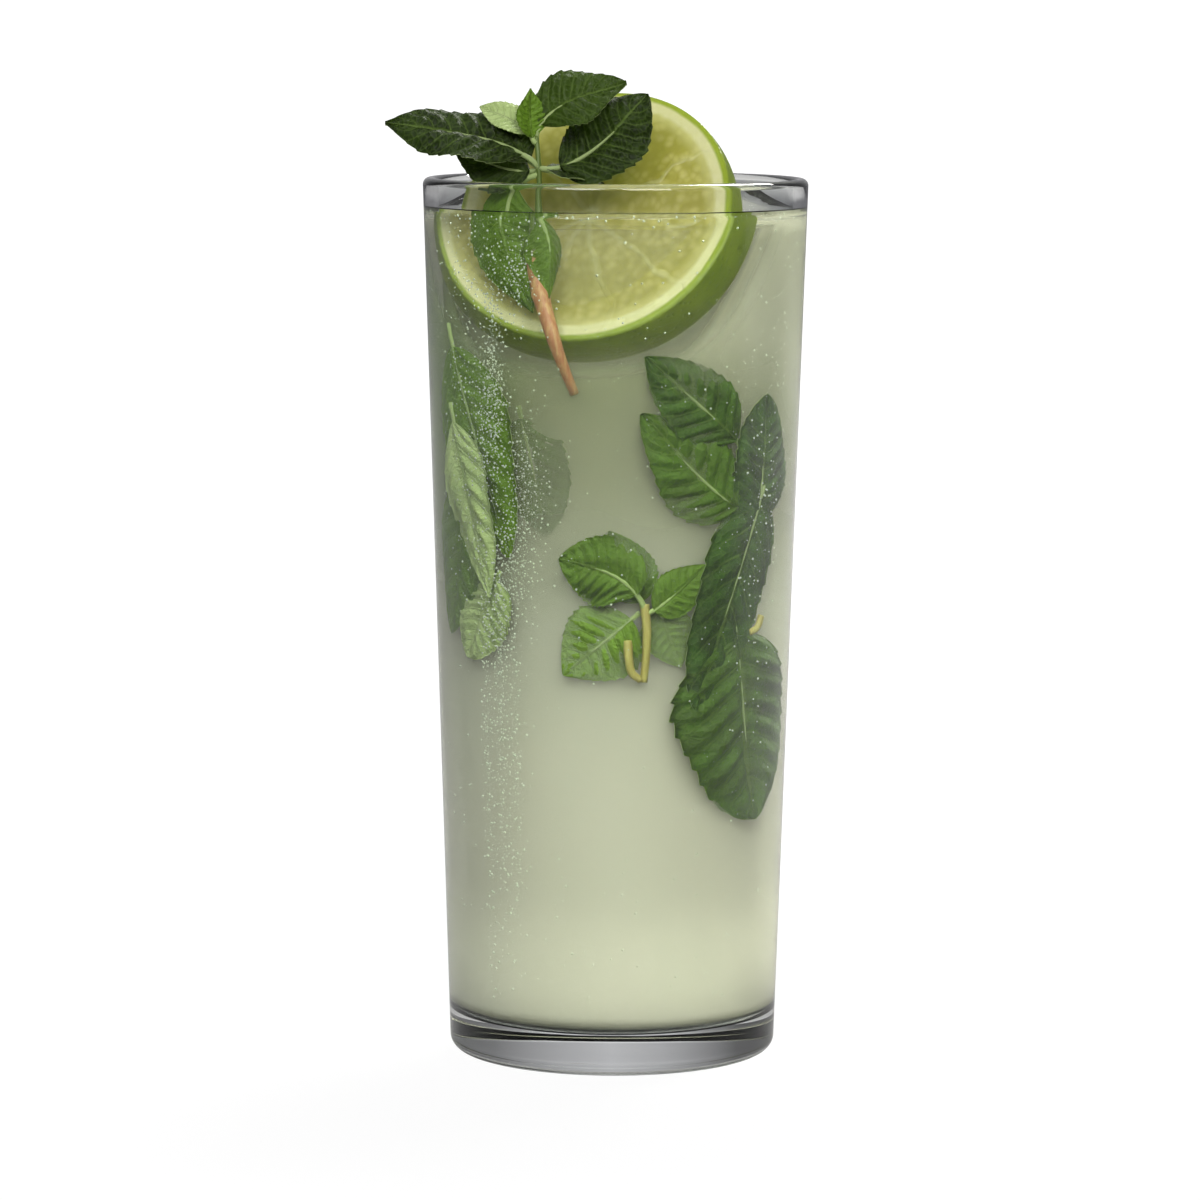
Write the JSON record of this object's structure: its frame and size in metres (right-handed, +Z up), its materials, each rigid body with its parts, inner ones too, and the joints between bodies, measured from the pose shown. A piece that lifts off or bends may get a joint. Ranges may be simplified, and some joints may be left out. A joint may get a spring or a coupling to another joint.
{
  "type": "mojito cocktail",
  "caption": "Tall tapered clear glass filled with a cloudy pale green mint and lime drink, with a tilted lime wheel and a sprig of mint standing in it.",
  "frame": {"origin": "middle of the foot, on the surface that the glass stands on", "axes": "+Z up the glass, +X to the right and -Y to the front, where the lime wheel's face and the mint are seen"},
  "size_m": [0.0723, 0.0664, 0.1711],
  "materials": {
    "glass": "clear, polished",
    "drink": "cloudy pale yellow-green liquid",
    "lime": "wet cut flesh, green rind",
    "mint": "soft matt leaf"
  },
  "bodies": {
    "root": {"glass": "glass", "drink": "drink", "lime_wheel": "lime", "mint_sprig": "mint"}
  },
  "joints": []
}
